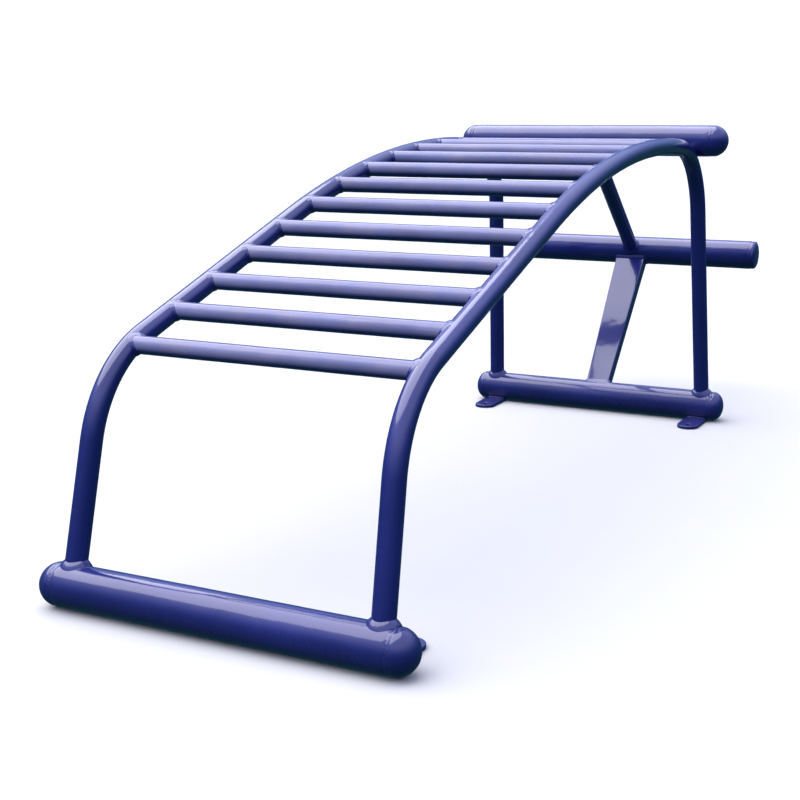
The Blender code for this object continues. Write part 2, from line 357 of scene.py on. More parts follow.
class Bar:
    """A cross bar as the frame holds it: its axis runs along X at (y, z)."""

    def __init__(self, name):
        low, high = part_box(name + "_tube")
        cap_low, cap_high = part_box(name + "_cap_right")
        self.name = name
        self.y = (low.y + high.y) / 2
        self.z = (low.z + high.z) / 2
        self.radius = (high.z - low.z) / 2
        self.half_length = high.x
        self.cap_start = cap_low.x
        self.cap_depth = cap_high.x - cap_low.x
        self.centre = np.array((0.0, self.y, self.z))

    def onto(self, points):
        """Points moved to the bar's skin."""
        return onto_cylinder(points, self.centre, X_AXIS, self.radius)

    def normals(self, points):
        """The bar's outward directions at points near its skin."""
        return unit((points - self.centre) * YZ_PART)

    def meet(self, start, direction, far):
        """Distance along each line to the bar's surface. In the YZ plane the squared distance from
        the axis is a quadratic in the distance travelled, and far takes its larger root."""
        offset = start[..., 1:] - self.centre[1:]
        heading = direction[..., 1:]
        a = (heading * heading).sum(-1)
        b = (offset * heading).sum(-1)
        c = (offset * offset).sum(-1) - self.radius ** 2
        root = np.sqrt(b * b - a * c)
        return (-b + root) / a if far else (-b - root) / a


BARS = {name: Bar(name) for name in ("front_base", "rear_base", "knee_bar", "foot_bar")}


class Rail:
    """The centre line of a bent rail, as a function of the distance from the front base's axis."""

    def __init__(self, side):
        self.side = side
        self.shape = bpy.context.scene.bench_rail
        self.radius = self.shape.diameter / 2
        front = BARS["front_base"]
        self.start = (front.y, front.z)
        self.heading = math.pi / 2 - self.shape.front_leg_lean
        self.stretches = self.find_stretches()
        self.length = sum(length for length, _ in self.stretches)

    def find_stretches(self):
        """(length, curvature) of each straight or curved stretch, from the front foot."""
        shape = self.shape
        down = shape.rear_leg_lean - math.pi / 2
        stretches = [
            (shape.front_leg_length, 0.0),
            ((self.heading - shape.incline) * shape.front_bend_radius, 1 / shape.front_bend_radius),
            (shape.incline_length, 0.0),
            ((shape.incline - shape.crown_end) * shape.crown_radius, 1 / shape.crown_radius),
            ((shape.crown_end - down) * shape.rear_bend_radius, 1 / shape.rear_bend_radius),
        ]
        drop = self.profile(sum(length for length, _ in stretches), stretches)[1]
        rear_leg = (drop - BARS["rear_base"].z) / math.cos(shape.rear_leg_lean)
        return stretches + [(float(rear_leg), 0.0)]

    def profile(self, distance, stretches):
        """(y, z, heading). Each stretch adds its own part of the way: a straight one d times
        (cos h, sin h), and one of curvature k ((sin h - sin(h - kd)) / k, (cos(h - kd) - cos h) / k)."""
        y, z = self.start
        heading = self.heading
        turned = np.full(np.shape(distance), heading, float)
        done = 0.0
        for number, (length, bend) in enumerate(stretches):
            low = -np.inf if number == 0 else 0.0
            high = np.inf if number == len(stretches) - 1 else length
            d = np.clip(distance - done, low, high)
            if bend:
                y = y + (math.sin(heading) - np.sin(heading - bend * d)) / bend
                z = z + (np.cos(heading - bend * d) - math.cos(heading)) / bend
            else:
                y = y + math.cos(heading) * d
                z = z + math.sin(heading) * d
            turned = turned - bend * d
            heading -= bend * length
            done += length
        return y, z, turned

    def at(self, distance):
        """Centres, directions, and the two axes of the round section. The rail closes in towards
        the middle plane as it rises, and the first axis is X less its part along the rail."""
        distance = np.asarray(distance, float)
        y, z, heading = self.profile(distance, self.stretches)
        lean = self.shape.inward_lean
        x = self.side * (self.shape.foot_half_spacing - lean * (z - self.start[1]))
        centre = np.stack((x, y, z), axis=-1)
        rise = np.sin(heading)
        along = unit(np.stack((-self.side * lean * rise, np.cos(heading), rise), axis=-1))
        first = unit(X_AXIS - along[..., :1] * along)
        return centre, along, first, np.cross(along, first)

    def nearest(self, y, z):
        """Distance along the rail of the point whose height profile comes closest to (y, z)."""
        distance = np.linspace(0.0, self.length, 4000)
        path_y, path_z, _ = self.profile(distance, self.stretches)
        return distance[np.argmin((path_y - y) ** 2 + (path_z - z) ** 2)]

    def onto(self, points, distance):
        """Points moved to the rail's skin at the given distances along it."""
        centre, along, _, _ = self.at(distance)
        return onto_cylinder(points, centre, along, self.radius)

    def meet_across(self, y, z, guess):
        """Where lines along X, at (y, z), meet the rail's inner side: (x, distance along the rail).
        The rail is a cylinder about its direction at the nearest point of its centre line, and
        that point is found again after each meeting."""
        distance = np.full(np.shape(y), guess)
        for _ in range(6):
            centre, along, _, _ = self.at(distance)
            dy = y - centre[..., 1]
            dz = z - centre[..., 2]
            tilt = along[..., 0]
            part = dy * along[..., 1] + dz * along[..., 2]
            spare = 1 - tilt * tilt
            inside = (tilt * part) ** 2 - spare * (dy * dy + dz * dz - part * part - self.radius ** 2)
            dx = (tilt * part - self.side * np.sqrt(inside)) / spare
            distance = distance + dx * tilt + part
        return centre[..., 0] + dx, distance


# --- meshes --------------------------------------------------------------------------------------


class Shell:
    """A closed surface on a grid of rows and columns. Columns always wrap round. Rows wrap round
    too, or else the first and last row are each drawn to a single point, a pole."""

    # Each point also carries a weld share and a share of scuffing with its painted highlight
    def __init__(self, points, poles=False, weld=0.0, rub=0.0):
        self.points = points
        self.poles = poles
        self.weld = np.broadcast_to(weld, points.shape[:2])
        self.rub = np.broadcast_to(rub, points.shape[:2])

    def quads(self):
        """Corner numbers of the quads between neighbouring grid points."""
        rows, columns = self.points.shape[:2]
        row = np.arange(rows - 1 if self.poles else rows)[:, None]
        column = np.arange(columns)[None, :]
        next_row = (row + 1) % rows * columns
        next_column = (column + 1) % columns
        corners = (row * columns + column, row * columns + next_column,
                   next_row + next_column, next_row + column)
        return np.stack(np.broadcast_arrays(*corners), axis=-1).reshape(-1, 4)


def add_piece(name, node, shells):
    """Joins closed shells into one mesh, closes its poles, turns its faces outwards, and stands it
    in for a node of the frame."""
    points = np.concatenate([shell.points.reshape(-1, 3) for shell in shells])
    starts = np.cumsum([0] + [shell.points.shape[0] * shell.points.shape[1] for shell in shells])
    quads = np.concatenate([shell.quads() + start for shell, start in zip(shells, starts)])
    mesh = bpy.data.meshes.new(name)
    mesh.vertices.add(len(points))
    mesh.vertices.foreach_set("co", points.astype(np.float32).ravel())
    mesh.loops.add(quads.size)
    mesh.loops.foreach_set("vertex_index", quads.astype(np.int32).ravel())
    mesh.polygons.add(len(quads))
    mesh.polygons.foreach_set("loop_start", np.arange(0, quads.size, 4, dtype=np.int32))
    mesh.update(calc_edges=True)
    for key in ("weld", "rub"):
        values = np.concatenate([getattr(shell, key).ravel() for shell in shells])
        layer = mesh.attributes.new(key, "FLOAT", "POINT")
        layer.data.foreach_set("value", values.astype(np.float32))
    tidy = bmesh.new()
    tidy.from_mesh(mesh)
    if any(shell.poles for shell in shells):
        bmesh.ops.remove_doubles(tidy, verts=tidy.verts, dist=1e-6)
    bmesh.ops.recalc_face_normals(tidy, faces=tidy.faces)
    tidy.to_mesh(mesh)
    tidy.free()
    mesh.shade_smooth()
    mesh.set_sharp_from_angle(angle=SHARP_EDGE)
    mesh.materials.append(enamel())
    piece = bpy.data.objects.new(name, mesh)
    bpy.context.scene.collection.objects.link(piece)
    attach(piece, BODY)
    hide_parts(node)
    return piece


def hollow(outside, inside):
    """Rows of a tube's outer skin followed by those of its inner skin, taken back the other way."""
    return np.concatenate((outside, inside[::-1]))


# --- welds ---------------------------------------------------------------------------------------


def ripple(travel, across):
    """Height of a bead's ripples between 0 and 1, for the distance travelled along the bead and the
    place across it from 0 to 1. The crests are crescents, and they differ a little in height."""
    pitch = bpy.context.scene.bench_weld.ripple_pitch
    turns = travel / pitch + RIPPLE_BOW * (across - 0.5) ** 2
    crest = 0.5 + 0.5 * np.cos(2 * math.pi * turns)
    uneven = 0.75 + 0.25 * np.sin(travel * 190.0 + 1.3) * np.sin(travel * 71.0)
    return crest * uneven


def fillet(seam, normal_a, normal_b, size, onto_a, onto_b, taper=None):
    """A weld bead along the seam where surface a meets surface b. Its toes lie on the two surfaces,
    one leg away from the seam and square to it. The skin between them is a quadratic Bezier curve
    lifted by the crown and the ripples, and its root lies below the seam. taper shrinks the legs."""
    weld = bpy.context.scene.bench_weld
    closed = taper is None
    if closed:
        along = unit(np.roll(seam, -1, axis=0) - np.roll(seam, 1, axis=0))
        steps = np.linalg.norm(np.roll(seam, -1, axis=0) - seam, axis=-1)
        taper = np.ones(len(seam))
    else:
        along = unit(np.gradient(seam, axis=0))
        steps = np.linalg.norm(np.diff(seam, axis=0, append=seam[-1:]), axis=-1)
    travel = np.concatenate(([0.0], np.cumsum(steps)[:-1]))
    if closed:
        whole = steps.sum()
        travel *= round(whole / weld.ripple_pitch) * weld.ripple_pitch / whole
    away_a = unit(np.cross(normal_a, along))
    away_a *= np.sign(dot(away_a, normal_b))
    away_b = unit(np.cross(normal_b, along))
    away_b *= np.sign(dot(away_b, normal_a))
    hand = 1 + sum(amount * np.sin(travel * pace + phase) for amount, pace, phase in SWAYS)
    leg = (size * taper * hand)[:, None]
    toe_a = onto_a(seam + leg * away_a) - TOE_SINK * normal_a
    toe_b = onto_b(seam + leg * away_b) - TOE_SINK * normal_b
    out = unit(normal_a + normal_b)
    share = np.linspace(0.0, 1.0, WELD_COLUMNS)
    middle = (toe_a + toe_b) / 2 + (weld.crown * taper)[:, None] * 2 * out
    skin = bezier(toe_a, middle, toe_b, share)
    lift = weld.ripple_depth * ripple(travel[:, None], share[None, :]) * np.sin(math.pi * share)
    skin = skin + (lift * taper[:, None])[..., None] * out[:, None]
    root = seam - ROOT_SINK * taper[:, None] * out
    return np.concatenate((skin, root[:, None]), axis=1)


# --- rails ---------------------------------------------------------------------------------------


def rail_skin(rail, radius):
    """A round section carried along the centre line, its two end rows cut to the base tubes: on a
    straight leg each line of the skin meets the base tube's cylinder. Between the feet its radius
    wanders a little, as a drawn and bent tube's does."""
    angles = full_turn(TUBE_COLUMNS)
    front, rear = BARS["front_base"], BARS["rear_base"]
    clear = front.radius + 2 * radius
    rows = np.concatenate(([0.0], np.linspace(clear, rail.length - clear, RAIL_ROWS), [rail.length]))
    distance = np.repeat(rows[:, None], TUBE_COLUMNS, axis=1)
    for row, bar in ((0, front), (-1, rear)):
        foot, along, first, second = rail.at(distance[row])
        ring = radius * spokes(angles, first, second)
        distance[row] += bar.meet(foot + ring, along, far=row == 0)
    centre, _, first, second = rail.at(distance)
    held = smooth_step(np.minimum(distance, rail.length - distance) / clear - 1)
    uneven = wander(distance * RAIL_WAVES, angles, rail.side + 2)
    reach = radius + held * bpy.context.scene.bench_tube.straightness * uneven
    return centre + reach[..., None] * spokes(angles, first, second)


def leg_weld(rail, bar, at_front):
    """The bead round the foot of a leg, along the saddle curve where leg and base tube meet."""
    angles = full_turn(SEAM_STEPS)
    foot = 0.0 if at_front else rail.length
    centre, along, first, second = rail.at(np.full(SEAM_STEPS, foot))
    outward = spokes(angles, first, second)
    start = centre + rail.radius * outward
    seam = start + bar.meet(start, along, far=at_front)[:, None] * along
    return Shell(
        fillet(
            seam, outward, bar.normals(seam), bpy.context.scene.bench_weld.leg_weld,
            lambda points: onto_cylinder(points, centre, along, rail.radius), bar.onto,
        ),
        weld=1.0,
    )


def knee_weld(rail, bar):
    """The collar that joins the knee bar to a rail, round the point where the two tubes touch. In
    each direction from that point its skin runs from the bar to the rail in a hollow curve."""
    touch = rail.nearest(bar.y, bar.z)
    centre, along, _, _ = rail.at(touch)
    towards = unit((bar.centre - centre) * YZ_PART)
    contact = centre + rail.radius * towards
    angles = full_turn(SEAM_STEPS)[:, None]
    across = unit(np.cross(along, towards))
    out = spokes(angles[:, 0], along, across)
    reach = COLLAR_LONG * np.cos(angles) ** 2 + COLLAR_WIDE * np.sin(angles) ** 2
    spread = contact + reach * out
    on_bar = bar.onto(spread)
    on_rail = rail.onto(spread, touch + (reach * np.cos(angles))[:, 0])
    share = np.linspace(0.0, 1.0, WELD_COLUMNS)
    skin = bezier(on_bar, contact + COLLAR_WAIST * reach * out, on_rail, share)
    lift = bpy.context.scene.bench_weld.ripple_depth * ripple(angles * COLLAR_WIDE, share[None, :])
    skin = skin + (lift * np.sin(math.pi * share))[..., None] * out[:, None]
    core = contact + COLLAR_CORE * reach * out
    return Shell(np.concatenate((skin, core[:, None]), axis=1), weld=1.0)


def make_rails():
    """Both rails, each a hollow tube with the welds at its two feet."""
    wall = bpy.context.scene.bench_tube.wall
    for side_name, side in SIDES:
        rail = Rail(side)
        tube = hollow(rail_skin(rail, rail.radius), rail_skin(rail, rail.radius - wall))
        shells = [
            Shell(tube),
            leg_weld(rail, BARS["front_base"], at_front=True),
            leg_weld(rail, BARS["rear_base"], at_front=False),
        ]
        add_piece("rail_%s_enamelled" % side_name, "rail_" + side_name, shells)


# --- rungs ---------------------------------------------------------------------------------------


def rung_ends(rail, y, z, radius, angles):
    """The saddle-shaped end of a rung's skin at one rail: x and the distance along the rail, for
    each angle round the rung."""
    ring_y = y + radius * np.cos(angles)
    ring_z = z + radius * np.sin(angles)
    return rail.meet_across(ring_y, ring_z, rail.nearest(y, z))


def rung_skin(rails, y, z, radius, seed):
    """Lines along X between the rung's two saddle-shaped ends. Its radius wanders a little, and
    less towards the ends."""
    angles = full_turn(TUBE_COLUMNS)
    (left, _), (right, _) = [rung_ends(rail, y, z, radius, angles) for rail in rails]
    share = np.linspace(0.0, 1.0, RUNG_ROWS)[:, None]
    x = left + (right - left) * share
    held = np.sin(math.pi * share) ** 0.5
    uneven = held * wander(x * RUNG_WAVES, angles[None, :], seed)
    reach = radius + bpy.context.scene.bench_tube.straightness * uneven
    return round_x(x, (0.0, y, z), reach, angles)


def rung_weld(rail, y, z, radius):
    """The bead round one end of a rung."""
    angles = full_turn(SEAM_STEPS)
    x, distance = rung_ends(rail, y, z, radius, angles)
    middle = np.array((0.0, y, z))
    seam = round_x(x, middle, radius, angles)
    centre, along, _, _ = rail.at(distance)
    away = seam - centre
    rail_normal = unit(away - dot(away, along) * along)
    return Shell(
        fillet(
            seam, spokes(angles, Y_AXIS, Z_AXIS), rail_normal, bpy.context.scene.bench_weld.rung_weld,
            lambda points: onto_cylinder(points, middle, X_AXIS, radius),
            lambda points: onto_cylinder(points, centre, along, rail.radius),
        ),
        weld=1.0,
    )


def make_rungs():
    """The rungs, welded at both ends, and scuffed dull on their front side by hands and feet, with a painted
    highlight on that side.
    """
    rails = [Rail(side) for _, side in SIDES]
    wall = bpy.context.scene.bench_tube.rung_wall
    for number, node in enumerate(RUNG_NODES):
        low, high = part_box(node)
        y, z, radius = (low.y + high.y) / 2, (low.z + high.z) / 2, (high.z - low.z) / 2
        outside = rung_skin(rails, y, z, radius, number + 1)
        inside = rung_skin(rails, y, z, radius - wall, number + 1)
        tube = hollow(outside, inside)
        # The scuffed side, turned forward towards the front, is rougher and also gets a painted highlight
        towards = (tube[..., 2] - z) * math.cos(RUB_AND_HIGHLIGHT_LEAN) + (y - tube[..., 1]) * math.sin(RUB_AND_HIGHLIGHT_LEAN)
        shells = [Shell(tube, rub=smooth_step((towards / radius - RUB_AND_HIGHLIGHT_START) / RUB_AND_HIGHLIGHT_SPAN))]
        shells += [rung_weld(rail, y, z, radius) for rail in rails]
        add_piece(node + "_enamelled", node, shells)


# --- cross bars and caps -------------------------------------------------------------------------


def bar_skin(bar, radius, neck, seed):
    """A cylinder about X. Its skin wanders a little from true, never outwards of its radius, and
    is drawn in towards both ends over the reach of the seam."""
    reach = bpy.context.scene.bench_weld.seam_reach
    angles = full_turn(BAR_COLUMNS)[None, :]
    end = bar.half_length - reach * (1 - np.cos(np.linspace(0.0, math.pi / 2, BAR_END_ROWS)))[::-1]
    run = np.linspace(-end[0], end[0], BAR_ROWS)[1:-1]
    x = np.concatenate((-end[::-1], run, end))[:, None]
    into_seam = smooth_step((np.abs(x) - bar.half_length + reach) / reach)
    uneven = bpy.context.scene.bench_tube.straightness * (wander(x * BAR_WAVES, angles, seed) - 1)
    depth = radius + uneven * (1 - into_seam) - neck * into_seam
    return round_x(x, bar.centre, depth, angles)


def dome_skin(bar, side, squareness, shrink, neck):
    """A dome about X, from its rim to its pole: depth times sin(a)^(2/n) outwards and radius times
    cos(a)^(2/n) round, with n the squareness, drawn in at the rim over the reach of the seam."""
    reach = bpy.context.scene.bench_weld.seam_reach
    a = (np.linspace(0.0, 1.0, DOME_ROWS) ** DOME_CROWDING * math.pi / 2)[:, None]
    rise = (bar.cap_depth - shrink) * np.sin(a) ** (2 / squareness)
    radius = (bar.radius - shrink) * np.maximum(np.cos(a), 0.0) ** (2 / squareness)
    radius = radius - neck * (1 - smooth_step(rise / min(reach, bar.cap_depth)))
    radius[-1] = 0.0
    return round_x(side * (bar.cap_start + rise), bar.centre, radius, full_turn(BAR_COLUMNS)[None, :])


def seam_ring(bar, side, seed):
    """The dressed bead round a bar where its cap is welded on: a low rounded ridge, no higher than
    the bar, whose crest wanders, dips and ripples round the bar."""
    weld = bpy.context.scene.bench_weld
    angles = full_turn(SEAM_STEPS)[:, None]
    across = np.linspace(-1.0, 1.0, WELD_COLUMNS)[None, :]
    ridge = 1 - across ** 2
    middle = (bar.half_length + bar.cap_start) / 2
    shift = SEAM_WANDER * wander(angles * 3, 0.0 * angles, seed)
    dips = SEAM_DIPS * weld.seam_neck * (1 + wander(angles * 5, across, seed + 0.5)) / 2
    ripples = SEAM_RIPPLES * weld.ripple_depth * (1 - ripple(angles * bar.radius, (across + 1) / 2))
    crest = SEAM_CREST * weld.seam_neck - dips - ripples
    height = bar.radius - SEAM_BED * weld.seam_neck + crest * ridge
    x = middle + shift + across * SEAM_WIDTH * weld.seam_reach
    skin = round_x(side * x, bar.centre, height, angles)
    root = round_x(side * middle, bar.centre, bar.radius - 2 * ROOT_SINK - weld.seam_neck, angles)
    return Shell(np.concatenate((skin, root), axis=1), weld=1.0)


def make_bars():
    """The four cross bars. The knee bar is scuffed on top, with a painted highlight there, and has a collar
    on each rail.
    """
    wall = bpy.context.scene.bench_tube.wall
    neck = bpy.context.scene.bench_weld.seam_neck
    for seed, bar in enumerate(BARS.values()):
        tube = hollow(bar_skin(bar, bar.radius, neck, seed), bar_skin(bar, bar.radius - wall, 0.0, seed))
        shells = [Shell(tube)]
        if bar.name == "knee_bar":
            # The knee bar's scuffed top also gets a painted highlight
            rub = KNEE_RUB_AND_HIGHLIGHT * smooth_step((tube[..., 2] - bar.z) / bar.radius)
            shells = [Shell(tube, rub=rub)] + [knee_weld(Rail(side), bar) for _, side in SIDES]
        add_piece(bar.name + "_tube_enamelled", bar.name + "_tube", shells)


def make_caps():
    """The eight end caps: hollow domes, each with the dressed seam by which it is welded on."""
    wall = bpy.context.scene.bench_tube.wall
    neck = bpy.context.scene.bench_weld.seam_neck
    for number, bar in enumerate(BARS.values()):
        squareness = CAP_SQUARENESS[bar.name]
        for side_name, side in SIDES:
            outside = dome_skin(bar, side, squareness, 0.0, neck)
            inside = dome_skin(bar, side, squareness, wall, 0.0)
            dome = np.concatenate((outside[::-1], inside))
            node = "%s_cap_%s" % (bar.name, side_name)
            shells = [Shell(dome, poles=True), seam_ring(bar, side, number + 2 + side)]
            add_piece(node + "_enamelled", node, shells)


# --- braces --------------------------------------------------------------------------------------


def brace_axes(start, end):
    """A brace's direction, the axis square to it in the middle plane, and its length."""
    up = unit(end - start)
    return up, np.cross(X_AXIS, up), float(np.linalg.norm(end - start))


def rounded_box(half_width, half_depth, corner):
    """Outline of a box section with rounded corners: quarter circles joined by straight runs.
    Returns x, y and both parts of the outward normal for each point."""
    quarter = np.linspace(0.0, math.pi / 2, BRACE_CORNER_STEPS)
    turns = np.concatenate([quarter + k * math.pi / 2 for k in range(4)])
    sign_x = np.repeat((1.0, -1.0, -1.0, 1.0), len(quarter))
    sign_y = np.repeat((1.0, 1.0, -1.0, -1.0), len(quarter))
    x = sign_x * (half_width - corner) + corner * np.cos(turns)
    y = sign_y * (half_depth - corner) + corner * np.sin(turns)
    return fill_runs(x, y, np.cos(turns), np.sin(turns), len(quarter))


def fill_runs(x, y, normal_x, normal_y, per_corner):
    """Adds evenly spaced points to the straight runs between the corners of an outline."""
    share = np.linspace(0.0, 1.0, BRACE_SIDE_STEPS + 2)[1:-1]
    columns = []
    for values in (x, y, normal_x, normal_y):
        parts = []
        for corner in range(4):
            own = values[corner * per_corner:(corner + 1) * per_corner]
            following = values[(corner + 1) * per_corner % len(values)]
            parts += [own, own[-1] + (following - own[-1]) * share]
        columns.append(np.concatenate(parts))
    return columns


def lower_brace_lines(inset):
    """Lines of the lower brace's skin from foot to head: their starts, their directions, which
    spread as the brace widens, and their outward normals."""
    tube = bpy.context.scene.bench_tube
    foot, head = BARS["rear_base"].centre, BARS["foot_bar"].centre
    _, front, length = brace_axes(foot, head)
    half_depth = tube.brace_thickness / 2 - inset
    corner = max(tube.brace_corner - inset, INNER_CORNER)
    rings = []
    for width in (tube.brace_foot_width, tube.brace_head_width):
        x, y, normal_x, normal_y = rounded_box(width / 2 - inset, half_depth, corner)
        rings.append(x[:, None] * X_AXIS + y[:, None] * front)
    start = foot + rings[0]
    direction = (head + rings[1] - start) / length
    normals = unit(normal_x[:, None] * X_AXIS + normal_y[:, None] * front)
    return start, direction, normals


def skin_between(start, direction, lower, upper, rows):
    """Straight lines cut to the bar they leave and the bar they reach."""
    low = lower.meet(start, direction, far=True)
    high = upper.meet(start, direction, far=False)
    share = np.linspace(0.0, 1.0, rows)[:, None]
    distance = low + (high - low) * share
    return start + distance[..., None] * direction


def line_onto(start, direction, normals):
    """Projects points to the flat or rounded face of a brace that their line lies in."""

    def onto(points):
        return points - dot(points - start, normals) * normals

    return onto


def end_weld(start, direction, normals, bar, far, onto_skin):
    """The bead round one end of a brace."""
    seam = start + bar.meet(start, direction, far=far)[:, None] * direction
    size = bpy.context.scene.bench_weld.brace_weld
    return Shell(fillet(seam, normals, bar.normals(seam), size, onto_skin, bar.onto), weld=1.0)


def dense_outline(values, count):
    """A closed outline's columns read at evenly spaced lengths along it."""
    points = values[0]
    steps = np.linalg.norm(np.roll(points, -1, axis=0) - points, axis=-1)
    travel = np.concatenate(([0.0], np.cumsum(steps)))
    wanted = np.arange(count) * (travel[-1] / count)
    dense = []
    for columns in values:
        ring = np.concatenate((columns, columns[:1]))
        dense.append(np.stack([np.interp(wanted, travel, ring[:, k]) for k in range(3)], axis=-1))
    return dense


def make_lower_brace():
    """The hollow box brace with a weld at its foot and its head."""
    wall = bpy.context.scene.bench_tube.wall
    foot, head = BARS["rear_base"], BARS["foot_bar"]
    skins = []
    for inset in (0.0, wall):
        start, direction, _ = lower_brace_lines(inset)
        skins.append(skin_between(start, direction, foot, head, BRACE_ROWS))
    shells = [Shell(hollow(*skins))]
    start, direction, normals = dense_outline(lower_brace_lines(0.0), SEAM_STEPS)
    normals = unit(normals)
    onto = line_onto(start, direction, normals)
    shells.append(end_weld(start, direction, normals, foot, True, onto))
    shells.append(end_weld(start, direction, normals, head, False, onto))
    add_piece("lower_brace_enamelled", "lower_brace", shells)


def upper_brace_lines(radius, count):
    """Lines of the upper brace's round skin, from the foot bar up to the knee bar."""
    tube = bpy.context.scene.bench_tube
    landing = BARS["foot_bar"].centre - tube.upper_brace_drop * Z_AXIS
    up, front, _ = brace_axes(landing, BARS["knee_bar"].centre)
    outward = spokes(full_turn(count), X_AXIS, front)
    return landing + radius * outward, np.broadcast_to(up, outward.shape), outward


def make_upper_brace():
    """The hollow round brace with a weld at each end."""
    tube = bpy.context.scene.bench_tube
    radius = tube.upper_brace_diameter / 2
    lower, upper = BARS["foot_bar"], BARS["knee_bar"]
    skins = []
    for inset in (0.0, tube.wall):
        start, direction, _ = upper_brace_lines(radius - inset, TUBE_COLUMNS)
        skins.append(skin_between(start, direction, lower, upper, BRACE_ROWS))
    shells = [Shell(hollow(*skins))]
    start, direction, outward = upper_brace_lines(radius, SEAM_STEPS)
    middle = start - radius * outward

    def onto(points):
        return onto_cylinder(points, middle, direction, radius)

    shells.append(end_weld(start, direction, outward, lower, True, onto))
    shells.append(end_weld(start, direction, outward, upper, False, onto))
    add_piece("upper_brace_enamelled", "upper_brace", shells)


# --- anchor ears ---------------------------------------------------------------------------------


def ear_outline(half_width, reach, root, count):
    """A straight-sided outline with a round end, read at even turns about the anchor hole at
    (0, reach). Ahead of the hole it is a half circle; behind it, the nearer of side and root."""
    turns = full_turn(count)
    x, y = np.sin(turns), np.cos(turns)
    side = half_width / np.maximum(np.abs(x), 1e-9)
    back = (reach - root) / np.maximum(-y, 1e-9)
    distance = np.where(y >= 0, half_width, np.minimum(side, back))
    return np.stack((distance * x, reach + distance * y), axis=-1), np.stack((x, y), axis=-1)


def ear_section(thickness, edge):
    """The ear's section from its hole to its rim and back, as (share, inset, height): share 0 is
    the hole and 1 the rim, and the inset moves a point back from either for the rounded edges."""
    bend = np.linspace(0.0, math.pi / 2, EAR_CORNER_STEPS)
    near = edge * (1 - np.sin(bend))
    far = edge * (1 - np.cos(bend))
    flat = np.linspace(0.0, 1.0, EAR_FLAT_STEPS + 2)[1:-1]
    level = np.zeros(EAR_FLAT_STEPS)
    hole = np.zeros(EAR_CORNER_STEPS)
    share = np.concatenate((hole, flat, np.ones(2 * EAR_CORNER_STEPS), flat[::-1], hole))
    across = edge * (1 - 2 * flat)
    inset = np.concatenate((far, across, -near, -far, across[::-1], near))
    height = np.concatenate((thickness - near, thickness + level, thickness - far, near, level, far))
    return share, inset, height


def make_ears():
    """Each ear is a ring about its anchor hole: the section carried round, stretched between the
    hole and the outline. Its root is cut to the underside of the base tube."""
    tube = bpy.context.scene.bench_tube
    for base, facing in (("front", 1.0), ("rear", -1.0)):
        bar = BARS[base + "_base"]
        for side_name, _ in SIDES:
            node = "%s_lug_%s" % (base, side_name)
            low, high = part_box(node)
            half_width = (high.x - low.x) / 2
            middle = (high.x + low.x) / 2
            place = np.array((middle, bar.y, low.z))
            ear = ear_shell(tube, bar, half_width, high.z - low.z, place, facing)
            bead = ear_weld(bar, half_width, high.z - low.z, place, facing)
            add_piece(node + "_enamelled", node, [ear, bead])


def ear_shell(tube, bar, half_width, thickness, place, facing):
    """The ear's points: share of the way from the hole to the outline, moved by the inset, with
    heights held below the base tube's underside."""
    outline, heading = ear_outline(half_width, tube.ear_reach, tube.ear_root, EAR_COLUMNS)
    hole = np.array((0.0, tube.ear_reach)) + tube.ear_hole / 2 * heading
    share, inset, height = ear_section(thickness, tube.ear_edge)
    flat = hole + (outline - hole) * share[:, None, None] + inset[:, None, None] * heading
    under = bar.z - np.sqrt(np.maximum(bar.radius ** 2 - flat[..., 1] ** 2, 0.0)) - TOE_SINK
    free = np.abs(flat[..., 1]) >= bar.radius
    height = np.minimum(height[:, None], np.where(free, thickness, np.maximum(under, THINNEST_EAR)))
    points = np.stack((flat[..., 0], facing * flat[..., 1], height), axis=-1)
    return Shell(place + points)


def ear_weld(bar, half_width, thickness, place, facing):
    """The fillet along the top of an ear where it passes under the base tube, tapered to a point
    at both ends."""
    share = np.linspace(-1.0, 1.0, SEAM_STEPS // 2)
    lift = bar.z - place[2] - thickness
    run = math.sqrt(bar.radius ** 2 - lift ** 2)
    middle = place + facing * run * Y_AXIS + thickness * Z_AXIS
    seam = middle + (share * half_width * EAR_BEAD_SHARE)[:, None] * X_AXIS
    flat_normal = np.broadcast_to(Z_AXIS, seam.shape)
    taper = np.sqrt(np.maximum(1 - share ** 6, 0.0))
    top = place[2] + thickness

    def onto_ear(points):
        return points * (X_AXIS + Y_AXIS) + top * Z_AXIS

    size = bpy.context.scene.bench_weld.ear_weld
    points = fillet(seam, flat_normal, bar.normals(seam), size, onto_ear, bar.onto, taper)
    points[0] = seam[0]
    points[-1] = seam[-1]
    return Shell(points, poles=True, weld=1.0)


# --- enamel --------------------------------------------------------------------------------------


def add_node(tree, kind, place, **values):
    """A shader node with its properties, and its input defaults by name."""
    node = tree.nodes.new(kind)
    node.location = place
    for key, value in values.pop("inputs", {}).items():
        node.inputs[key].default_value = value
    for key, value in values.items():
        setattr(node, key, value)
    return node


def noise(tree, coordinates, place, scale, detail, roughness=0.5):
    """Noise on the object's own coordinates; scale is in waves a metre."""
    node = add_node(tree, "ShaderNodeTexNoise", place,
                    inputs={"Scale": scale, "Detail": detail, "Roughness": roughness})
    tree.links.new(coordinates, node.inputs["Vector"])
    return node.outputs["Fac"]


def span(tree, value, place, low, high, to_low=0.0, to_high=1.0):
    """A value carried from one range to another and held there."""
    node = add_node(tree, "ShaderNodeMapRange", place, clamp=True,
                    inputs={"From Min": low, "From Max": high, "To Min": to_low, "To Max": to_high})
    tree.links.new(value, node.inputs["Value"])
    return node.outputs["Result"]


def maths(tree, operation, a, b, place):
    """Two values, each a socket or a number, put through one operation."""
    node = add_node(tree, "ShaderNodeMath", place, operation=operation)
    for socket, value in zip(node.inputs, (a, b)):
        if isinstance(value, (int, float)):
            socket.default_value = value
        else:
            tree.links.new(value, socket)
    return node.outputs["Value"]


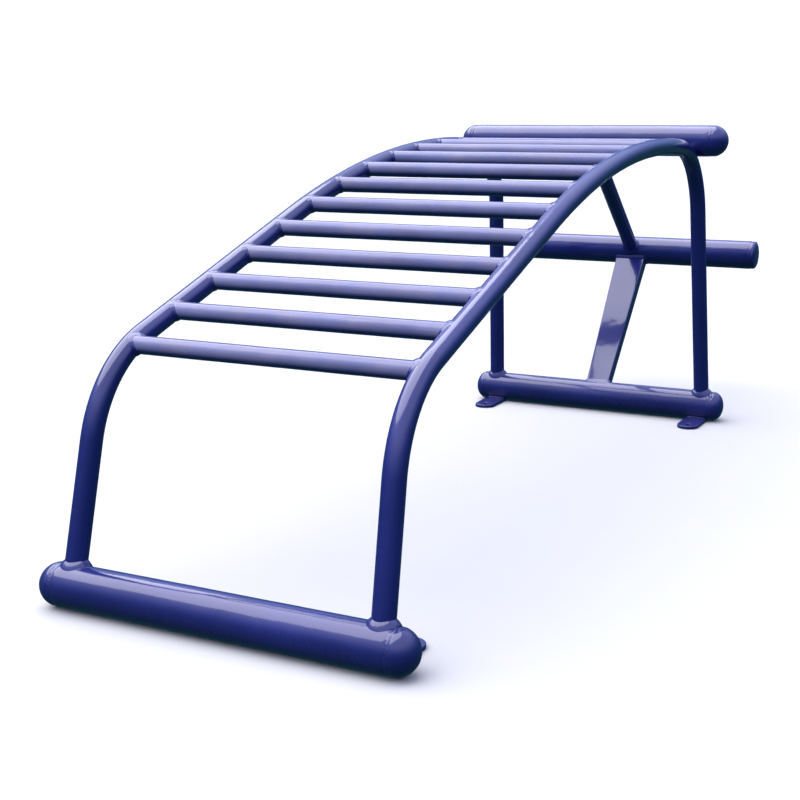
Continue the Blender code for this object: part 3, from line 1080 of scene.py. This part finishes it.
def blend(tree, share, first, second, place):
    """Two colours mixed by a share; each is a socket or a colour."""
    node = add_node(tree, "ShaderNodeMix", place, data_type="RGBA")
    tree.links.new(share, node.inputs["Factor"])
    colour_a, colour_b = [s for s in node.inputs if s.type == "RGBA"]
    for socket, value in ((colour_a, first), (colour_b, second)):
        if isinstance(value, bpy.types.NodeSocket):
            tree.links.new(value, socket)
        else:
            socket.default_value = (*value, 1.0)
    return [s for s in node.outputs if s.type == "RGBA"][0]


def bump(tree, height, place, strength, distance, normal=None):
    """A bump whose height is a socket, laid over an earlier one."""
    node = add_node(tree, "ShaderNodeBump", place, inputs={"Strength": strength, "Distance": distance})
    tree.links.new(height, node.inputs["Height"])
    if normal is not None:
        tree.links.new(normal, node.inputs["Normal"])
    return node.outputs["Normal"]


def enamel():
    """Thick glossy blue enamel on steel: pooled and thin patches, orange peel, long waves in the gloss, a
    dull scuffed film where hands and feet touch, which carries a painted highlight in pale lavender, and a
    trace of dust close to the ground."""
    name = "blue_enamel"
    if name in bpy.data.materials:
        return bpy.data.materials[name]
    paint = bpy.context.scene.bench_paint
    material = bpy.data.materials.new(name)
    material.use_nodes = True
    tree = material.node_tree
    shader = tree.nodes["Principled BSDF"]
    place = add_node(tree, "ShaderNodeTexCoord", (-1800, 0)).outputs["Object"]
    weld = add_node(tree, "ShaderNodeAttribute", (-1800, -300), attribute_name="weld").outputs["Fac"]
    rub = add_node(tree, "ShaderNodeAttribute", (-1800, -500), attribute_name="rub").outputs["Fac"]

    patches = span(tree, noise(tree, place, (-1500, 300), PATCH_SCALE, 3.0), (-1300, 300), 0.35, 0.65)
    stretch = add_node(tree, "ShaderNodeMapping", (-1600, -100), inputs={"Scale": HAIR_SCALE})
    tree.links.new(place, stretch.inputs["Vector"])
    hairs = noise(tree, stretch.outputs["Vector"], (-1400, -100), 1.0, 4.0, 0.6)
    hairs = span(tree, hairs, (-1200, -100), 0.58, 0.70)
    uneven = maths(tree, "ADD", hairs, patches, (-1000, -100))
    # How strongly the scuffing and its painted highlight show, patchy with the hairs and patches
    patchy_rub_and_highlight = span(tree, uneven, (-900, -100), 0.0, 2.0, LEAST_RUB_AND_HIGHLIGHT, 1.0)
    rub_and_highlight_amount = maths(tree, "MULTIPLY", rub, patchy_rub_and_highlight, (-800, -100))
    height = add_node(tree, "ShaderNodeSeparateXYZ", (-1600, -700))
    tree.links.new(place, height.inputs["Vector"])
    low = span(tree, height.outputs["Z"], (-1400, -700), 0.0, DUST_TOP, 1.0, 0.0)
    mottle = noise(tree, place, (-1400, -900), DUST_SCALE, 8.0, 0.7)
    dust = maths(tree, "MULTIPLY", low, mottle, (-1000, -700))

    colour = blend(tree, patches, paint.deep_colour, paint.colour, (-800, 300))
    # Painted highlight: pale lavender tones mixed in where the enamel is scuffed
    tones = noise(tree, place, (-1500, 500), TONE_SCALE, 4.0, 0.6)
    tones = span(tree, tones, (-1300, 500), 0.36, 0.64)
    painted_highlight = blend(tree, tones, paint.painted_highlight_colour, paint.painted_highlight_tint, (-1000, 500))
    colour = blend(tree, rub_and_highlight_amount, colour, painted_highlight, (-500, 300))
    film = maths(tree, "MULTIPLY", dust, DUST_SHARE, (-600, -600))
    colour = blend(tree, film, colour, paint.dust_colour, (-300, 300))
    tree.links.new(colour, shader.inputs["Base Color"])

    rough = paint.roughness
    sources = zip((patches, rub_and_highlight_amount, dust, weld), ROUGH_ADDED)
    for step, (source, amount) in enumerate(sources):
        added = maths(tree, "MULTIPLY", source, amount, (-600, -200 - 100 * step))
        rough = maths(tree, "ADD", added, rough, (-400 + 100 * step, -200))
    tree.links.new(rough, shader.inputs["Roughness"])

    dulled = maths(tree, "ADD", rub_and_highlight_amount, dust, (-600, -800))
    cover = maths(tree, "MULTIPLY", dulled, -GLOSS_LOST, (-400, -800))
    cover = maths(tree, "ADD", cover, 1.0, (-200, -800))
    tree.links.new(cover, shader.inputs["Coat Weight"])

    waves = bump(tree, noise(tree, place, (-1000, -1000), *WAVES), (-800, -1000), *WAVE_BUMP)
    peel = bump(tree, noise(tree, place, (-1000, -1200), *PEEL), (-600, -1000), *PEEL_BUMP, waves)
    tree.links.new(peel, shader.inputs["Normal"])
    tree.links.new(peel, shader.inputs["Coat Normal"])
    shader.inputs["Metallic"].default_value = 0.0
    shader.inputs["Specular IOR Level"].default_value = paint.specular
    shader.inputs["Coat Roughness"].default_value = paint.coat_roughness
    shader.inputs["Coat IOR"].default_value = paint.coat_ior
    return material


# --- stage ---------------------------------------------------------------------------------------


def floor_bowl(radius, rim_radius, rim_turn):
    """A round floor whose rim turns up: the profile (r, z) is flat, then an arc of the rim's radius
    through the rim's turn, and is carried round Z."""
    turn = np.linspace(0.0, rim_turn, FLOOR_ROWS)[1:]
    reach = np.concatenate((np.linspace(0.0, radius, FLOOR_ROWS), radius + rim_radius * np.sin(turn)))
    rise = np.concatenate((np.zeros(FLOOR_ROWS), rim_radius * (1 - np.cos(turn))))
    ring = spokes(full_turn(FLOOR_COLUMNS), X_AXIS, Y_AXIS)
    return reach[:, None, None] * ring + rise[:, None, None] * Z_AXIS


def floor_paint(colour):
    """Pale matt studio floor with a faint mottle."""
    material = bpy.data.materials.new("studio_floor")
    material.use_nodes = True
    tree = material.node_tree
    shader = tree.nodes["Principled BSDF"]
    place = add_node(tree, "ShaderNodeTexCoord", (-800, 0)).outputs["Object"]
    mottle = noise(tree, place, (-600, 0), 3.0, 4.0)
    darker = tuple(0.97 * channel for channel in colour)
    tree.links.new(blend(tree, mottle, colour, darker, (-300, 0)), shader.inputs["Base Color"])
    shader.inputs["Roughness"].default_value = 0.9
    shader.inputs["Specular IOR Level"].default_value = 0.1
    return material


def make_floor(stage):
    """The floor, which the camera sees and the bench neither mirrors nor is lit by."""
    points = floor_bowl(stage.floor_radius, stage.rim_radius, stage.rim_turn)
    quads = Shell(points, poles=True).quads()[:, ::-1]
    mesh = bpy.data.meshes.new("studio_floor")
    mesh.from_pydata(points.reshape(-1, 3).tolist(), [], quads.tolist())
    tidy = bmesh.new()
    tidy.from_mesh(mesh)
    bmesh.ops.remove_doubles(tidy, verts=tidy.verts, dist=1e-5)
    tidy.to_mesh(mesh)
    tidy.free()
    mesh.shade_smooth()
    mesh.materials.append(floor_paint(stage.floor_colour))
    floor = bpy.data.objects.new("studio_floor", mesh)
    bpy.context.scene.collection.objects.link(floor)
    floor.visible_glossy = False
    floor.visible_diffuse = False


def soft_light(name, strength, spread, elevation, turn):
    """A wide, far light. Its direction is given by its height above the horizon and by its turn to
    the left of straight ahead."""
    light = bpy.data.lights.new(name, "SUN")
    light.energy = strength
    light.angle = spread
    lamp = bpy.data.objects.new(name, light)
    bpy.context.scene.collection.objects.link(lamp)
    level = math.cos(elevation)
    towards = Vector((-level * math.sin(turn), level * math.cos(turn), math.sin(elevation)))
    lamp.rotation_euler = towards.to_track_quat("Z", "Y").to_euler()
    return lamp


def make_lights(stage):
    """A soft light above and to the left, which the enamel mirrors, and a fill that it doesn't."""
    overhead = soft_light(
        "overhead_light", stage.sky_strength, stage.sky_spread, stage.sky_elevation, stage.sky_turn)
    overhead.data.color = LIGHT_COLOUR
    fill = soft_light(
        "fill_light", stage.fill_strength, stage.sky_spread, stage.fill_elevation, stage.fill_turn)
    fill.visible_glossy = False


def make_world(strength):
    """Dim surroundings: dark near and below the horizon, paler high up."""
    world = bpy.data.worlds.new("studio_surroundings")
    bpy.context.scene.world = world
    world.use_nodes = True
    tree = world.node_tree
    sky = tree.nodes["Background"]
    direction = add_node(tree, "ShaderNodeTexCoord", (-900, 0)).outputs["Generated"]
    parts = add_node(tree, "ShaderNodeSeparateXYZ", (-700, 0))
    tree.links.new(direction, parts.inputs["Vector"])
    ramp = add_node(tree, "ShaderNodeValToRGB", (-500, 0))
    stops = ramp.color_ramp.elements
    stops[0].position, stops[1].position = SURROUNDINGS[0][0], SURROUNDINGS[-1][0]
    for position, _ in SURROUNDINGS[1:-1]:
        stops.new(position)
    for stop, (_, colour) in zip(stops, SURROUNDINGS):
        stop.color = (*colour, 1.0)
    height = span(tree, parts.outputs["Z"], (-600, -200), -1.0, 1.0)
    tree.links.new(height, ramp.inputs["Fac"])
    tree.links.new(ramp.outputs["Color"], sky.inputs["Color"])
    sky.inputs["Strength"].default_value = strength


def make_camera(stage):
    """A camera that looks ahead turned by its yaw, down by its pitch, and rolled about its axis."""
    yaw, pitch, roll = stage.yaw, stage.pitch, stage.roll
    right = Vector((math.cos(yaw), math.sin(yaw), 0.0))
    level = math.cos(pitch)
    ahead = Vector((-math.sin(yaw) * level, math.cos(yaw) * level, -math.sin(pitch)))
    up = right.cross(ahead)
    rolled_right = math.cos(roll) * right + math.sin(roll) * up
    rolled_up = math.cos(roll) * up - math.sin(roll) * right
    camera = bpy.data.cameras.new("camera")
    camera.sensor_width = SENSOR_WIDTH
    camera.lens = stage.lens
    camera.clip_end = FAR_CLIP
    rig = bpy.data.objects.new("camera", camera)
    bpy.context.scene.collection.objects.link(rig)
    turn = Matrix((rolled_right, rolled_up, -ahead)).transposed().to_4x4()
    rig.matrix_world = Matrix.Translation(stage.eye) @ turn
    bpy.context.scene.camera = rig


# --- operators -----------------------------------------------------------------------------------


class BENCH_OT_stage(bpy.types.Operator):
    """Lay the floor, set the lights and place the camera"""

    bl_idname = "bench.stage"
    bl_label = "Stage"

    def execute(self, context):
        stage = context.scene.bench_stage
        make_floor(stage)
        make_lights(stage)
        make_world(stage.ambient)
        make_camera(stage)
        context.scene.view_settings.view_transform = "Standard"
        return {"FINISHED"}


class BENCH_OT_rails(bpy.types.Operator):
    """Bend the two side rails and weld their legs to the base tubes"""

    bl_idname = "bench.rails"
    bl_label = "Rails"

    def execute(self, context):
        make_rails()
        return {"FINISHED"}


class BENCH_OT_rungs(bpy.types.Operator):
    """Cut the rungs to the rails and weld them in"""

    bl_idname = "bench.rungs"
    bl_label = "Rungs"

    def execute(self, context):
        make_rungs()
        return {"FINISHED"}


class BENCH_OT_bars(bpy.types.Operator):
    """Make the four cross bars, with the collars that hold the knee bar"""

    bl_idname = "bench.bars"
    bl_label = "Cross Bars"

    def execute(self, context):
        make_bars()
        return {"FINISHED"}


class BENCH_OT_caps(bpy.types.Operator):
    """Press the end caps and weld their seams"""

    bl_idname = "bench.caps"
    bl_label = "End Caps"

    def execute(self, context):
        make_caps()
        return {"FINISHED"}


class BENCH_OT_lower_brace(bpy.types.Operator):
    """Fold the tapered box brace between the rear base and the foot bar"""

    bl_idname = "bench.lower_brace"
    bl_label = "Lower Brace"

    def execute(self, context):
        make_lower_brace()
        return {"FINISHED"}


class BENCH_OT_upper_brace(bpy.types.Operator):
    """Fit the round brace between the foot bar and the knee bar"""

    bl_idname = "bench.upper_brace"
    bl_label = "Upper Brace"

    def execute(self, context):
        make_upper_brace()
        return {"FINISHED"}


class BENCH_OT_ears(bpy.types.Operator):
    """Cut the anchor ears and weld them under the base tubes"""

    bl_idname = "bench.ears"
    bl_label = "Anchor Ears"

    def execute(self, context):
        make_ears()
        return {"FINISHED"}


OPERATORS = (
    BENCH_OT_stage,
    BENCH_OT_rails,
    BENCH_OT_rungs,
    BENCH_OT_bars,
    BENCH_OT_caps,
    BENCH_OT_lower_brace,
    BENCH_OT_upper_brace,
    BENCH_OT_ears,
)


class BENCH_PT_panel(bpy.types.Panel):
    """Lists the bench's pieces in the 3D view's sidebar"""

    bl_idname = "BENCH_PT_panel"
    bl_label = "Sit-up Bench"
    bl_space_type = "VIEW_3D"
    bl_region_type = "UI"
    bl_category = "Sit-up Bench"

    def draw(self, context):
        for operator in OPERATORS:
            self.layout.operator(operator.bl_idname)
        for key in SETTINGS:
            box = self.layout.box()
            group = getattr(context.scene, key)
            for prop in group.bl_rna.properties:
                if prop.identifier not in ("rna_type", "name"):
                    box.prop(group, prop.identifier)


SETTINGS = {
    "bench_rail": BenchRailSettings,
    "bench_tube": BenchTubeSettings,
    "bench_weld": BenchWeldSettings,
    "bench_paint": BenchPaintSettings,
    "bench_stage": BenchStageSettings,
}


def register():
    """Adds the settings to the scene, the operators and the panel."""
    for cls in (*SETTINGS.values(), *OPERATORS, BENCH_PT_panel):
        bpy.utils.register_class(cls)
    for key, group in SETTINGS.items():
        setattr(bpy.types.Scene, key, PointerProperty(type=group))


def unregister():
    """Takes away what register added, the other way round."""
    for key in SETTINGS:
        delattr(bpy.types.Scene, key)
    for cls in (BENCH_PT_panel, *reversed(OPERATORS), *reversed(tuple(SETTINGS.values()))):
        bpy.utils.unregister_class(cls)


def main():
    """Builds the stage and every piece."""
    register()
    bpy.ops.bench.stage()
    bpy.ops.bench.rails()
    bpy.ops.bench.rungs()
    bpy.ops.bench.bars()
    bpy.ops.bench.caps()
    bpy.ops.bench.lower_brace()
    bpy.ops.bench.upper_brace()
    bpy.ops.bench.ears()


if __name__ == "__main__":
    main()
